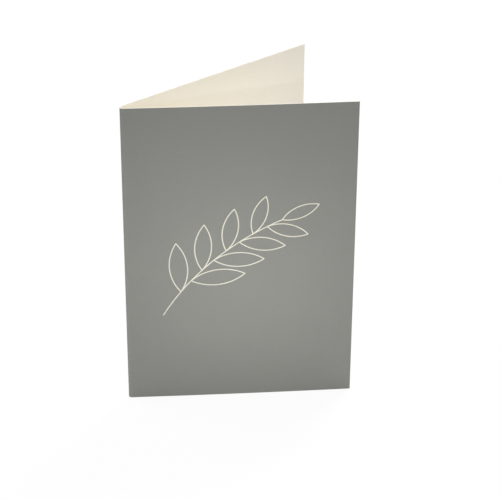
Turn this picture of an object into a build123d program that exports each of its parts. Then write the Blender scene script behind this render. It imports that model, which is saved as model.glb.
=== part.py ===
"""Folded greeting card, standing open on its bottom edges.

One sheet of board, scored and folded once into a front cover and a back panel.
The section is drawn once, seen from above, and raised to the card's height.
A sprig of leaves is pressed into the front cover as a shallow line.

Frame: +Z up, the front cover faces -Y and its fold is on the -X side.
The origin is the middle of the footprint, on the surface that the card stands on.
Sizes are in millimetres and degrees.
"""

import os
from math import atan, atan2, cos, degrees, radians, sin

from build123d import *

# Sheet
panel_width = 110.0  # outside of the fold to a free edge
panel_height = 160.0
board_thickness = 0.4

# Fold
opening_angle = 34.0  # between the two panels
fold_inner_radius = 1.1
bead_height = 0.12  # of the ridge that scoring raises along the inside of the fold

# The slight outward curl of each panel, at its middle
front_bow = 0.4
back_bow = 0.1

# Pressed line
line_width = 0.55
line_depth = 0.06

# Sprig, as drawn on the flat cover and measured from the cover's middle
stem_foot_x = -37.0
stem_foot_y = -32.0
stem_top_x = 20.0
stem_top_y = 19.0
stem_rise = 6.0  # how far the stem's arc stands off the straight line between its ends
side_leaves = 8
bare_stem = 0.2  # share of the stem below the lowest leaf
leaf_length = 27.0  # of the lowest
top_leaf_length = 19.0  # at the stem's end
leaf_fatness = 0.16  # how far each side of a leaf stands off its middle, as a share of its length
leaf_spread = 42.0  # between a leaf and the stem

fold_outer_radius = fold_inner_radius + board_thickness
panel_chord = panel_width - fold_outer_radius


def arc_of(chord, rise):
    """The radius and the sweep in degrees of an arc with this chord and this rise."""
    radius = (chord * chord / 4 + rise * rise) / (2 * rise)
    return radius, degrees(4 * atan(2 * rise / chord))


def polar(length, angle):
    """The vector of that length along that direction, in degrees from +X."""
    return Vector(length * cos(radians(angle)), length * sin(radians(angle)))


front_radius, front_sweep = arc_of(panel_chord, front_bow)
back_radius, back_sweep = arc_of(panel_chord, back_bow)
front_heading = -front_sweep / 2
back_heading = opening_angle + back_sweep / 2


def face_line(depth):
    """The front's, the fold's and the back's arc, that far out from the sheet's inner face."""
    fold_radius = fold_inner_radius + depth
    front_end = polar(fold_radius, front_heading - 90)
    back_end = polar(fold_radius, back_heading + 90)
    fold_middle = polar(fold_radius, (front_heading + back_heading) / 2 + 180)
    front = JernArc(front_end, polar(1, front_heading), front_radius + depth, front_sweep)
    fold = ThreePointArc(front_end, fold_middle, back_end)
    back = JernArc(back_end, polar(1, back_heading), back_radius + depth, -back_sweep)
    return front, fold, back


def layer(inner_depth, outer_depth):
    """The part of the sheet between two depths, over its whole height."""
    inner = face_line(inner_depth)
    outer = face_line(outer_depth)
    front_edge = Line(inner[0] @ 1, outer[0] @ 1)
    back_edge = Line(inner[2] @ 1, outer[2] @ 1)
    section = make_face(Wire([*inner, back_edge, *outer, front_edge]))
    return extrude(section, panel_height)


def score_bead():
    """The ridge along the inside of the fold, as round as the board is thick."""
    bead_radius = board_thickness / 2
    middle = (front_heading + back_heading) / 2 + 180
    centre = polar(fold_inner_radius - bead_height + bead_radius, middle)
    upright = (Align.CENTER, Align.CENTER, Align.MIN)
    return Pos(centre) * Cylinder(bead_radius, panel_height, align=upright)


def leaf(base, heading, length):
    """The centre lines of a leaf's two sides."""
    tip = base + polar(length, heading)
    middle = (base + tip) / 2
    side = polar(length * leaf_fatness, heading + 90)
    return [ThreePointArc(base, middle + side, tip), ThreePointArc(base, middle - side, tip)]


def heading_of(direction):
    """The direction of a vector, in degrees from +X."""
    return degrees(atan2(direction.Y, direction.X))


def sprig_lines():
    """The drawing's centre lines: the stem, the leaf at its end, and side leaves that shrink upwards."""
    foot = Vector(stem_foot_x, stem_foot_y)
    top = Vector(stem_top_x, stem_top_y)
    across = (top - foot).normalized().rotate(Axis.Z, 90)
    stem = ThreePointArc(foot, (foot + top) / 2 + across * stem_rise, top)
    lines = [stem, *leaf(top, heading_of(stem % 1), top_leaf_length)]
    for number in range(side_leaves):
        share = number / side_leaves
        place = bare_stem + (1 - bare_stem) * share
        side = 1 if number % 2 == 0 else -1
        length = leaf_length + (top_leaf_length - leaf_length) * share
        lines += leaf(stem @ place, heading_of(stem % place) + side * leaf_spread, length)
    return lines


def pressed_line():
    """What the drawing takes out of the front cover, as strokes of one width with round ends."""
    middle = Vector(panel_width / 2 - fold_outer_radius, -fold_outer_radius, panel_height / 2)
    cover = Plane(origin=middle, x_dir=(1, 0, 0), z_dir=(0, -1, 0))
    reach = front_bow + board_thickness
    strokes = Sketch() + [SlotArc(line, line_width) for line in sprig_lines()]
    skin = layer(board_thickness - line_depth, board_thickness + line_depth)
    return extrude(cover * strokes, reach, both=True) & skin


def card():
    sheet = layer(0, board_thickness) + score_bead() - pressed_line()
    box = sheet.bounding_box()
    return Pos(-box.center().X, -box.center().Y, 0) * sheet


os.makedirs("parts", exist_ok=True)
export_step(card(), "parts/card.step")
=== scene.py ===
import math

import bmesh
import bpy
from mathutils import Matrix, Vector


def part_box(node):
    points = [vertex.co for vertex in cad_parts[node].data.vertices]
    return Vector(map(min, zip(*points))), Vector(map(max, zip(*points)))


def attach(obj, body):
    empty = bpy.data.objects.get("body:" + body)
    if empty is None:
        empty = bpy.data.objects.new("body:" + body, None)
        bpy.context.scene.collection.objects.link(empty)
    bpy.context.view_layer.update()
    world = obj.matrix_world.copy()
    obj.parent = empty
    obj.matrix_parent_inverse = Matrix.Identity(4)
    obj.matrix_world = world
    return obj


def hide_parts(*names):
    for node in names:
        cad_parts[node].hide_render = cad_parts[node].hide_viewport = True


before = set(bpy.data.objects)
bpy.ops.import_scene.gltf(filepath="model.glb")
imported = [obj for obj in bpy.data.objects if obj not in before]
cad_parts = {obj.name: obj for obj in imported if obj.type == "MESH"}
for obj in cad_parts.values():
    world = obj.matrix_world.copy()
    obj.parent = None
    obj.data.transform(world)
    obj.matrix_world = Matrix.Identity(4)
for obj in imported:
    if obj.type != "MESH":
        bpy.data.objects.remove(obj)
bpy.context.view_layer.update()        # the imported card, which fixes every size and place
cardLow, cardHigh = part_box("card")
mm = 0.001
nearly = 1e-7            # metres, under which two places are taken as one
up = Vector((0, 0, 1))
white = (1, 1, 1, 1)
print("frame loaded")

# The sheet, first as a flat blank: x runs along it from the fold, z up, and its outside faces -y
sheet = {
    "thickness": 0.4 * mm,
    "foldInside": 1.1 * mm,     # radius on the inside of the fold
    "opening": 34.0,            # degrees between the two panels
    "frontBow": 0.4 * mm,       # outward curl at the middle of each panel
    "backBow": 0.1 * mm,
    "beadHeight": 0.12 * mm,    # the ridge that scoring raises inside the fold
    "beadHalfWidth": 0.22 * mm,
    "cornerRound": 0.2 * mm,
    "edgeRound": 0.05 * mm,
    "roundSteps": 3,
    "rimAbove": 60.0,           # degrees across an edge that gets a round rim
    "panelColumns": 24,         # of the mesh, as are the next two
    "foldColumns": 48,
    "rows": 32,
    "sharpAbove": 12.0,         # degrees across an edge that is shaded sharp
}
# The line pressed into the cover
line = {
    "width": 0.55 * mm,
    "depth": 0.06 * mm,
    "lift": 0.05 * mm,          # how far the cutter stands out of the board
    "profileSteps": 8,
    "step": 0.5 * mm,           # along a stroke
    "capSteps": 24,             # round its end
}
# The sprig, measured from the middle of the cover
sprig = {
    "middleFromEdge": 55.0 * mm,    # half the cover's width
    "foot": (-37.0 * mm, -32.0 * mm),
    "top": (20.0 * mm, 19.0 * mm),
    "stemRise": 6.0 * mm,       # how far the stem's arc stands off the straight line between its ends
    "sideLeaves": 8,
    "bareStem": 0.2,            # share of the stem below the lowest leaf
    "leafLength": 27.0 * mm,
    "topLeafLength": 19.0 * mm,
    "leafFatness": 0.16,        # how far each side stands off a leaf's middle, as a share of its length
    "leafSpread": 42.0,         # degrees between a leaf and the stem
    "reach": 50.0 * mm,         # no stroke lies further from the cover's middle
}


def heading(degrees):
    angle = math.radians(degrees)
    return Vector((math.cos(angle), math.sin(angle), 0))


def arcOf(chord, rise):
    # the radius and the sweep in degrees of an arc with this chord and this rise
    radius = (chord * chord / 4 + rise * rise) / (2 * rise)
    return radius, math.degrees(4 * math.atan(2 * rise / chord))


height = cardHigh.z - cardLow.z
foldOutside = sheet["foldInside"] + sheet["thickness"]
boxGap = 0.002 * mm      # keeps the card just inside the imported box
panelLength = cardHigh.x - cardLow.x - foldOutside - boxGap     # its slight curl adds next to nothing
frontRadius, frontSweep = arcOf(panelLength, sheet["frontBow"])
backRadius, backSweep = arcOf(panelLength, sheet["backBow"])
frontHeading = -frontSweep / 2
backHeading = sheet["opening"] + backSweep / 2
foldSweep = 180 - backHeading + frontHeading
foldHalf = math.radians(foldSweep) * (sheet["foldInside"] + sheet["thickness"] / 2) / 2
blankHalf = foldHalf + panelLength
coverMiddle = Vector((blankHalf - sprig["middleFromEdge"], -sheet["thickness"], height / 2))


def everything(bm):
    return bm.verts[:] + bm.edges[:] + bm.faces[:]


def cutAcross(bm, places, direction):
    for place in places:
        bmesh.ops.bisect_plane(bm, geom=everything(bm), plane_co=direction * place, plane_no=direction)


def evenly(start, end, count):
    return [start + (end - start) * number / count for number in range(1, count)]


def roundOff(bm, edges, offset):
    bmesh.ops.bevel(bm, geom=edges, offset=offset, affect="EDGES", segments=sheet["roundSteps"], profile=0.5,
                    material=-1)


def makeBlank():
    bm = bmesh.new()
    bmesh.ops.create_cube(bm, size=1)
    bmesh.ops.scale(bm, vec=(2 * blankHalf, sheet["thickness"], height), verts=bm.verts)
    bmesh.ops.translate(bm, vec=(0, -sheet["thickness"] / 2, height / 2), verts=bm.verts)
    corners = [edge for edge in bm.edges if edge.calc_length() < 2 * sheet["thickness"]]
    roundOff(bm, corners, sheet["cornerRound"])
    rims = [edge for edge in bm.edges if edge.calc_face_angle() > math.radians(sheet["rimAbove"])]
    roundOff(bm, rims, sheet["edgeRound"])
    columns = [-foldHalf, foldHalf]
    columns += evenly(-foldHalf, foldHalf, sheet["foldColumns"])
    columns += evenly(foldHalf, blankHalf, sheet["panelColumns"])
    columns += evenly(-blankHalf, -foldHalf, sheet["panelColumns"])
    cutAcross(bm, columns, Vector((1, 0, 0)))
    cutAcross(bm, evenly(0, height, sheet["rows"]), up)
    return bm


def strokeSection():
    # a shallow round bottom as wide and deep as the line, from one side to the other
    half = line["width"] / 2
    radius = (half * half + line["depth"] ** 2) / (2 * line["depth"])
    above = radius - line["depth"]
    reach = math.acos((above - line["lift"]) / radius)
    turns = [reach * (2 * number / line["profileSteps"] - 1) for number in range(line["profileSteps"] + 1)]
    return [(radius * math.sin(turn), above - radius * math.cos(turn)) for turn in turns]


def onCover(place, outward, across, out):
    # a point of a stroke's section, that far across the line and out of the board
    return place + outward * across + Vector((0, -sheet["thickness"] - out, 0))


def arcBetween(start, end, rise):
    # an arc's centre, its radius and how many degrees it turns
    chord = end - start
    side = Vector((-chord.z, 0, chord.x)).normalized()
    radius, turn = arcOf(chord.length, rise)
    return (start + end) / 2 + side * (rise - radius), radius, turn


def addStroke(bm, start, end, rise):
    centre, radius, turn = arcBetween(start, end, rise)
    outward = (start - centre).normalized()
    section = bm.faces.new([bm.verts.new(onCover(start, outward, *point)) for point in strokeSection()])
    steps = math.ceil(radius * math.radians(turn) / line["step"])
    bmesh.ops.spin(bm, geom=[section], cent=centre, axis=(0, 1, 0), angle=math.radians(turn), steps=steps)


def addDish(bm, place):
    # the round end of a stroke, spun from half of its section
    outward = Vector((1, 0, 0))
    points = [point for point in strokeSection() if point[0] > -nearly]
    points.append((0, points[-1][1]))
    chain = [bm.verts.new(onCover(place, outward, *point)) for point in points]
    edges = [bm.edges.new(pair) for pair in zip(chain, chain[1:])]
    earlier = set(bm.verts) - set(chain)
    bmesh.ops.spin(bm, geom=chain + edges, cent=place, axis=(0, 1, 0), angle=math.radians(360),
                   steps=line["capSteps"], use_merge=True)
    bmesh.ops.remove_doubles(bm, verts=[vert for vert in bm.verts if vert not in earlier], dist=nearly)


def pointOn(start, end, rise, share):
    # the place and the heading in degrees at a share of the way along an arc
    centre, _, turn = arcBetween(start, end, rise)
    chord = end - start
    place = centre + Matrix.Rotation(math.radians(turn) * share, 3, "Y") @ (start - centre)
    return place, math.degrees(math.atan2(chord.z, chord.x)) + turn / 2 - turn * share


def addLeaf(bm, base, angle, length):
    tip = base + length * Vector((math.cos(math.radians(angle)), 0, math.sin(math.radians(angle))))
    addStroke(bm, base, tip, length * sprig["leafFatness"])
    addStroke(bm, tip, base, length * sprig["leafFatness"])
    return [base, tip]


def makeSprigCutter():
    # every stroke of the sprig as one overlapping cutter
    bm = bmesh.new()
    middle = Vector((coverMiddle.x, 0, coverMiddle.z))
    foot = middle + Vector((sprig["foot"][0], 0, sprig["foot"][1]))
    top = middle + Vector((sprig["top"][0], 0, sprig["top"][1]))
    addStroke(bm, foot, top, sprig["stemRise"])
    ends = [foot]
    ends += addLeaf(bm, *pointOn(foot, top, sprig["stemRise"], 1), sprig["topLeafLength"])
    for number in range(sprig["sideLeaves"]):
        share = number / sprig["sideLeaves"]
        onStem = sprig["bareStem"] + (1 - sprig["bareStem"]) * share
        base, along = pointOn(foot, top, sprig["stemRise"], onStem)
        side = 1 if number % 2 == 0 else -1
        length = sprig["leafLength"] + (sprig["topLeafLength"] - sprig["leafLength"]) * share
        ends += addLeaf(bm, base, along + side * sprig["leafSpread"], length)
    for place in ends:
        addDish(bm, place)
    bmesh.ops.recalc_face_normals(bm, faces=bm.faces)
    return bm


def toObject(bm, name):
    mesh = bpy.data.meshes.new(name)
    bm.to_mesh(mesh)
    bm.free()
    made = bpy.data.objects.new(name, mesh)
    bpy.context.scene.collection.objects.link(made)
    return made


def pressInto(blank, cutter):
    # the blank with the cutter's strokes taken out of it, as a bmesh again
    target = toObject(blank, "blank")
    tool = toObject(cutter, "cutter")
    press = target.modifiers.new("press", "BOOLEAN")
    press.operation = "DIFFERENCE"
    press.solver = "EXACT"
    press.use_self = True    # the strokes overlap
    press.object = tool
    graph = bpy.context.evaluated_depsgraph_get()
    mesh = bpy.data.meshes.new_from_object(target.evaluated_get(graph))
    pressed = bmesh.new()
    pressed.from_mesh(mesh)
    for used in (target, tool):
        bpy.data.objects.remove(used)
    return pressed


finishes = ["outside", "inside", "cutEdge", "line"]     # in the order of the card's material slots


def faceKind(face):
    # which finish a face of the flat blank takes
    middle = face.calc_center_median()
    if middle.y > -nearly:
        return "inside"
    if middle.y < nearly - sheet["thickness"]:
        return "outside"
    looksOut = face.normal.y < -0.5
    return "line" if looksOut and (middle - coverMiddle).length < sprig["reach"] else "cutEdge"


# Where each kind of face lies on the picture that an export bakes: its left, bottom, width and height.
# The line has a place of its own, which keeps its rim crisp. The two panels share theirs, but not the fold
bakePlaces = {
    "outsideFold": (0.004, 0.004, 0.11, 0.47),
    "outside": (0.122, 0.004, 0.874, 0.47),
    "line": (0.004, 0.482, 0.478, 0.42),
    "insideFold": (0.49, 0.482, 0.06, 0.42),
    "inside": (0.558, 0.482, 0.438, 0.42),
    "topEdge": (0.004, 0.91, 0.992, 0.016),
    "footEdge": (0.004, 0.934, 0.992, 0.016),
    "freeEnd": (0.004, 0.958, 0.992, 0.016),
}
foldPlaceHalf = foldHalf + panelLength / sheet["panelColumns"]      # the fold's places end at a column


def bakePlace(face, kind, place, lineBox):
    # a corner of a face on that picture
    along, rise = abs(place.x) / blankHalf, place.z / height
    if kind == "line":
        low, high = lineBox
        along, rise = ((place[axis] - low[axis]) / (high[axis] - low[axis]) for axis in (0, 2))
    elif kind == "cutEdge" and abs(face.normal.x) > abs(face.normal.z):
        kind, along, rise = "freeEnd", rise, -place.y / sheet["thickness"]
    elif kind == "cutEdge":
        kind, rise = "topEdge" if face.normal.z > 0 else "footEdge", -place.y / sheet["thickness"]
    elif abs(face.calc_center_median().x) < foldPlaceHalf:
        kind, along = kind + "Fold", (place.x / foldPlaceHalf + 1) / 2
    else:
        along = (abs(place.x) - foldPlaceHalf) / (blankHalf - foldPlaceHalf)
    left, bottom, width, tall = bakePlaces[kind]
    return left + along * width, bottom + rise * tall


def markFlat(bm):
    # finishes, maps and how deep each point lies in the sheet, while it is still flat
    flatMap = bm.loops.layers.uv.new("flatSheet")
    bakeMap = bm.loops.layers.uv.new("OFBake")
    depth = bm.verts.layers.float.new("depth")      # 0 on the inside, 1 on the outside
    for vert in bm.verts:
        vert[depth] = min(max(-vert.co.y / sheet["thickness"], 0), 1)
    inLine = [vert.co for face in bm.faces if faceKind(face) == "line" for vert in face.verts]
    lineBox = [[pick(place[axis] for place in inLine) for axis in range(3)] for pick in (min, max)]
    for face in bm.faces:
        kind = faceKind(face)
        face.material_index = finishes.index(kind)
        face.smooth = True
        for loop in face.loops:
            place = loop.vert.co
            loop[flatMap].uv = (place.x / (2 * blankHalf) + 0.5, place.z / height)
            loop[bakeMap].uv = bakePlace(face, kind, place, lineBox)


def foldedPlace(flat):
    # where a point of the flat sheet lies once it is folded, from the fold's centre
    depth = -flat.y          # out from the sheet's inside
    beyond = (abs(flat.x) - foldHalf) / panelLength
    if beyond <= 0:
        if depth < nearly:
            ridge = math.cos(min(abs(flat.x) / sheet["beadHalfWidth"], 1) * math.pi / 2)
            depth -= sheet["beadHeight"] * ridge ** 2
        middle = (frontHeading + backHeading) / 2 - 180
        place = heading(middle + flat.x / foldHalf * foldSweep / 2) * (sheet["foldInside"] + depth)
    elif flat.x > 0:
        centre = heading(frontHeading + 90) * (frontRadius - sheet["foldInside"])
        place = centre + heading(frontHeading + beyond * frontSweep - 90) * (frontRadius + depth)
    else:
        centre = heading(backHeading - 90) * (backRadius - sheet["foldInside"])
        place = centre + heading(backHeading - beyond * backSweep + 90) * (backRadius + depth)
    return place + up * flat.z


freeEdge = foldedPlace(Vector((blankHalf, -sheet["thickness"], 0))).x
foldFront = cardLow.y + boxGap + foldOutside + sheet["frontBow"]
foldCentre = Vector(((foldOutside - freeEdge) / 2, foldFront, cardLow.z))
pressed = pressInto(makeBlank(), makeSprigCutter())
markFlat(pressed)
for vert in pressed.verts:
    vert.co = foldCentre + foldedPlace(vert.co)
pressed.normal_update()
for edge in pressed.edges:
    edge.smooth = edge.calc_face_angle(0) < math.radians(sheet["sharpAbove"])
openEdges = sum(not edge.is_manifold for edge in pressed.edges)
print("card", len(pressed.faces), "faces", openEdges, "open edges", pressed.calc_volume() / mm ** 3)
card = toObject(pressed, "foldedCard")


def colour(red, green, blue):
    # a colour as a picture shows it, for a shader
    def straight(value):
        value = value / 255
        return value / 12.92 if value <= 0.04045 else ((value + 0.055) / 1.055) ** 2.4
    return (straight(red), straight(green), straight(blue), 1)


# Paper and print. A grain is a size, how far it moves the brightness, and how much finer grain it holds
finishLooks = {
    "outside": {
        "base": colour(149, 150, 144), "roughness": 0.72, "shine": 0.35, "seed": 1,
        "grains": [(30 * mm, 0.012, 2), (0.9 * mm, 0.022, 3)],
        "fibreShare": 0.035, "tooth": 0.010 * mm,
    },
    "inside": {
        "base": colour(245, 240, 228), "roughness": 0.9, "shine": 0.25, "seed": 2,
        "grains": [(45 * mm, 0.008, 2), (1.2 * mm, 0.012, 3)],
        "fibreShare": 0.03, "tooth": 0.014 * mm,
    },
    "cutEdge": {
        "base": colour(237, 235, 224), "roughness": 0.95, "shine": 0.2, "seed": 3,
        "grains": [(3 * mm, 0.03, 3)],
        "fibreShare": 0.0, "tooth": 0.02 * mm,
    },
    "line": {
        "base": colour(241, 237, 221), "roughness": 0.6, "shine": 0.4, "seed": 4,
        "grains": [(1.5 * mm, 0.02, 3)],
        "fibreShare": 0.02, "tooth": 0.006 * mm,
    },
}
fibre = {
    "length": 2.2 * mm,
    "width": 0.22 * mm,
    "turns": (12, 71, 133),     # degrees, the ways that they lie
    "shown": (0.62, 0.72),      # the noise's highest values
    "detail": 1,
}
tooth = {"size": 0.4 * mm, "detail": 3, "roughSpread": 0.05}
wear = {
    "worn": colour(206, 203, 190),   # where the print is thin
    "rim": 0.2 * mm,            # how far it thins in from a cut edge
    "rimShare": 0.5,
    "rimNoise": (0.35, 0.65),
    "rimLeast": 0.3,            # where the rim's wear is narrowest, as a share of the widest
    "rimDetail": 3,
    "fold": 0.7 * mm,           # and past each side of the fold
    "foldShare": 0.35,
    "speck": 0.5 * mm,
    "speckNoise": (0.55, 0.68),
    "speckDetail": 4,
}
ply = {"along": 0.7 * mm, "through": 0.05 * mm, "share": 0.05, "detail": 3, "inkFrom": 0.88}
noiseRange = (0.3, 0.7)         # where most of a noise's values lie
noiseRoughness = 0.55
seedSteps = {"grain": 10, "tooth": 30, "fibre": 50, "rim": 80, "speck": 90}     # keep the noises apart


def addNode(tree, kind, inputs=None, **settings):
    node = tree.nodes.new("ShaderNode" + kind)
    for name, value in settings.items():
        setattr(node, name, value)
    for socket, value in (inputs or {}).items():
        if isinstance(value, bpy.types.NodeSocket):
            tree.links.new(value, node.inputs[socket])
        else:
            node.inputs[socket].default_value = value
    return node


def doMath(tree, operation, first, second=0.0):
    return addNode(tree, "Math", {0: first, 1: second}, operation=operation).outputs[0]


def mapped(tree, value, fromLow, fromHigh, low, high):
    limits = {"Value": value, "From Min": fromLow, "From Max": fromHigh, "To Min": low, "To Max": high}
    return addNode(tree, "MapRange", limits).outputs["Result"]


def grain(tree, place, size, detail, seed):
    settings = {"Vector": place, "W": seed, "Scale": 1 / size, "Detail": detail, "Roughness": noiseRoughness}
    return addNode(tree, "TexNoise", settings, noise_dimensions="4D").outputs["Fac"]


def sheetPlace(tree):
    # metres along the flat sheet from its fold, and metres up
    flat = addNode(tree, "UVMap", uv_map="flatSheet").outputs["UV"]
    sizes = {"Vector": flat, "Location": (-blankHalf, 0, 0), "Scale": (2 * blankHalf, height, 1)}
    return addNode(tree, "Mapping", sizes).outputs["Vector"]


def fibres(tree, place, turn, seed):
    # fine strands that all lie one way
    scale = (1 / fibre["length"], 1 / fibre["width"], 1)
    lie = {"Vector": place, "Rotation": (0, 0, math.radians(turn)), "Scale": scale}
    return grain(tree, addNode(tree, "Mapping", lie).outputs["Vector"], 1, fibre["detail"], seed)


def tone(tree, place, facts):
    # a brightness near 1 that the paper's grains and fibres move
    total = 1.0
    for number, (size, share, detail) in enumerate(facts["grains"]):
        spots = grain(tree, place, size, detail, facts["seed"] + seedSteps["grain"] * number)
        total = doMath(tree, "ADD", total, mapped(tree, spots, *noiseRange, -share, share))
    for number, turn in enumerate(fibre["turns"]):
        strands = fibres(tree, place, turn, facts["seed"] + seedSteps["fibre"] + number)
        total = doMath(tree, "ADD", total, mapped(tree, strands, *fibre["shown"], 0, facts["fibreShare"]))
    return total


def blended(tree, share, first, second):
    mix = addNode(tree, "MixRGB", {"Fac": share, "Color1": first, "Color2": second})
    return mix.outputs["Color"]


def printWear(tree, place, seed):
    # the share of bare paper that shows near the rim and along the fold
    parts = addNode(tree, "SeparateXYZ", {"Vector": place})
    fromFold = doMath(tree, "ABSOLUTE", parts.outputs["X"])
    toSide = doMath(tree, "SUBTRACT", blankHalf, fromFold)
    toTop = doMath(tree, "SUBTRACT", height, parts.outputs["Y"])
    toRim = doMath(tree, "MINIMUM", toSide, doMath(tree, "MINIMUM", toTop, parts.outputs["Y"]))
    patches = grain(tree, place, wear["speck"], wear["rimDetail"], seed + seedSteps["rim"])
    ragged = mapped(tree, patches, *wear["rimNoise"], wear["rimLeast"], 1)
    atRim = mapped(tree, toRim, 0, doMath(tree, "MULTIPLY", ragged, wear["rim"]), wear["rimShare"], 0)
    nearFold = mapped(tree, fromFold, foldHalf, foldHalf + wear["fold"], wear["foldShare"], 0)
    dots = grain(tree, place, wear["speck"], wear["speckDetail"], seed + seedSteps["speck"])
    specks = mapped(tree, dots, *wear["speckNoise"], 0, 1)
    return doMath(tree, "MAXIMUM", atRim, doMath(tree, "MULTIPLY", nearFold, specks))


def plies(tree, place, depth, seed):
    # streaks along a cut edge, one for each ply, that move its brightness
    parts = addNode(tree, "SeparateXYZ", {"Vector": place})
    along = doMath(tree, "ADD", parts.outputs["X"], parts.outputs["Y"])
    strip = addNode(tree, "CombineXYZ", {
        "X": doMath(tree, "DIVIDE", along, ply["along"]),
        "Y": doMath(tree, "MULTIPLY", depth, sheet["thickness"] / ply["through"]),
    })
    streaks = grain(tree, strip.outputs["Vector"], 1, ply["detail"], seed)
    return mapped(tree, streaks, *noiseRange, -ply["share"], ply["share"])


def newMaterial(name, facts):
    material = bpy.data.materials.new(name)
    material.use_nodes = True
    shader = material.node_tree.nodes["Principled BSDF"]
    shader.inputs["Base Color"].default_value = facts["base"]
    shader.inputs["Roughness"].default_value = facts["roughness"]
    shader.inputs["Specular IOR Level"].default_value = facts["shine"]
    return material, shader


def paperMaterial(name, facts):
    material, shader = newMaterial(name, facts)
    tree = material.node_tree
    place = sheetPlace(tree)
    base = facts["base"]
    if name == "outside":
        base = blended(tree, printWear(tree, place, facts["seed"]), base, wear["worn"])
    lit = tone(tree, place, facts)
    if name == "cutEdge":
        # the print ends as a thin line on the edge's outer side
        depth = addNode(tree, "Attribute", attribute_name="depth").outputs["Fac"]
        lit = doMath(tree, "ADD", lit, plies(tree, place, depth, facts["seed"]))
        inked = mapped(tree, depth, ply["inkFrom"], 1, 0, 1)
        base = blended(tree, inked, base, finishLooks["outside"]["base"])
    shade = addNode(tree, "HueSaturation", {"Value": lit, "Color": base})
    tree.links.new(shade.outputs["Color"], shader.inputs["Base Color"])
    relief = grain(tree, place, tooth["size"], tooth["detail"], facts["seed"] + seedSteps["tooth"])
    least, most = facts["roughness"] - tooth["roughSpread"], facts["roughness"] + tooth["roughSpread"]
    tree.links.new(mapped(tree, relief, *noiseRange, least, most), shader.inputs["Roughness"])
    bump = addNode(tree, "Bump", {"Height": relief, "Distance": facts["tooth"]})
    tree.links.new(bump.outputs["Normal"], shader.inputs["Normal"])
    return material


for name in finishes:
    card.data.materials.append(paperMaterial(name, finishLooks[name]))
print("paper and print")

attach(card, "root")
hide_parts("card")

# Studio
studio = {
    "floorSize": 6.0,
    "floor": {"base": (0.8, 0.8, 0.8, 1), "roughness": 1.0, "shine": 0.0},
    "shownFloor": (0.08, 0.08, 0.08, 1),    # what the camera sees of it beside its glow, together just white
    "floorGlow": 0.93,
    "worldLight": 0.55,
}
# Lamps, each aimed at a point in millimetres from the middle of the card's footprint
lamps = {
    "above": {
        "power": 18, "radius": 150 * mm, "spread": 1500 * mm,
        "aim": (0, 0, 40), "azimuth": 138, "elevation": 57,
    },
    "aboveLeft": {
        "power": 9, "radius": 150 * mm, "spread": 1500 * mm,
        "aim": (0, 0, 40), "azimuth": 235, "elevation": 60,
    },
    "cover": {
        "power": 16.6, "radius": 60 * mm, "spread": 96 * mm,
        "aim": (0, -31.5, 64), "azimuth": -5, "elevation": 20,
    },
    "wedge": {
        "power": 26, "radius": 60 * mm, "spread": 70 * mm,
        "aim": (-25, -14, 106), "azimuth": 93, "elevation": 8,
    },
}
lampDistance = 1.0
shot = {
    "target": (59.774 * mm, 82.734 * mm),   # from the fold's outside and from the table, in the cover's plane
    "azimuth": -4.485,
    "elevation": 31.01,
    "roll": 0.265,
    "distance": 949.1 * mm,
    "lens": 143.56,
    "sensor": 36,
    "clip": (0.01, 50),
}


def fromAround(azimuth, elevation):
    # the direction of a viewer who stands that far round from the front and that high
    around, lift = math.radians(azimuth), math.radians(elevation)
    return Vector((math.sin(around) * math.cos(lift), -math.cos(around) * math.cos(lift), math.sin(lift)))


def seenDirectly(tree):
    # 1 for what the camera sees, also in a reflection or through something clear
    path = addNode(tree, "LightPath").outputs
    return doMath(tree, "MAXIMUM", path["Is Camera Ray"],
                  doMath(tree, "MAXIMUM", path["Is Glossy Ray"], path["Is Transmission Ray"]))


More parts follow.
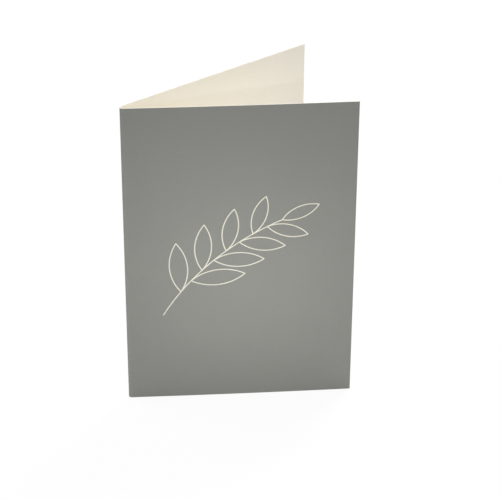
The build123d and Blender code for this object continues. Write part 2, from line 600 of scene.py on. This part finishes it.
def makeFloor():
    bm = bmesh.new()
    bmesh.ops.create_grid(bm, x_segments=1, y_segments=1, size=studio["floorSize"] / 2)
    bmesh.ops.translate(bm, vec=(0, 0, cardLow.z), verts=bm.verts)
    floor = toObject(bm, "floor")
    material, shader = newMaterial("floorPaint", studio["floor"])
    tree = material.node_tree
    seen = seenDirectly(tree)
    paint = blended(tree, seen, studio["floor"]["base"], studio["shownFloor"])
    tree.links.new(paint, shader.inputs["Base Color"])
    shader.inputs["Emission Color"].default_value = white
    tree.links.new(doMath(tree, "MULTIPLY", seen, studio["floorGlow"]), shader.inputs["Emission Strength"])
    floor.data.materials.append(material)


def makeWorld():
    world = bpy.data.worlds.new("studio")
    world.use_nodes = True
    tree = world.node_tree
    back = tree.nodes["Background"]
    back.inputs["Color"].default_value = white
    tree.links.new(mapped(tree, seenDirectly(tree), 0, 1, studio["worldLight"], 1), back.inputs["Strength"])
    bpy.context.scene.world = world


def makeLamp(name, facts):
    lamp = bpy.data.lights.new(name, "SPOT")
    lamp.energy = facts["power"]
    lamp.shadow_soft_size = facts["radius"]
    lamp.spot_size = 2 * math.atan(facts["spread"] / lampDistance)
    lamp.spot_blend = 1
    holder = bpy.data.objects.new(name, lamp)
    back = fromAround(facts["azimuth"], facts["elevation"])
    holder.location = Vector(facts["aim"]) * mm + back * lampDistance
    holder.rotation_euler = (-back).to_track_quat("-Z", "Y").to_euler()
    holder.visible_camera = False
    bpy.context.scene.collection.objects.link(holder)


def makeCamera():
    lens = bpy.data.cameras.new("camera")
    lens.lens = shot["lens"]
    lens.sensor_width = shot["sensor"]
    lens.clip_start, lens.clip_end = shot["clip"]
    camera = bpy.data.objects.new("camera", lens)
    target = foldCentre + Vector((shot["target"][0] - foldOutside, -foldOutside, shot["target"][1]))
    back = fromAround(shot["azimuth"], shot["elevation"])
    level = (-back).to_track_quat("-Z", "Y").to_matrix().to_4x4()
    turn = Matrix.Rotation(math.radians(shot["roll"]), 4, back) @ level
    camera.matrix_world = Matrix.Translation(target + back * shot["distance"]) @ turn
    bpy.context.scene.collection.objects.link(camera)
    bpy.context.scene.camera = camera


makeFloor()
makeWorld()
for name, facts in lamps.items():
    makeLamp(name, facts)
makeCamera()
bpy.context.scene.view_settings.view_transform = "Standard"
print("studio and camera")
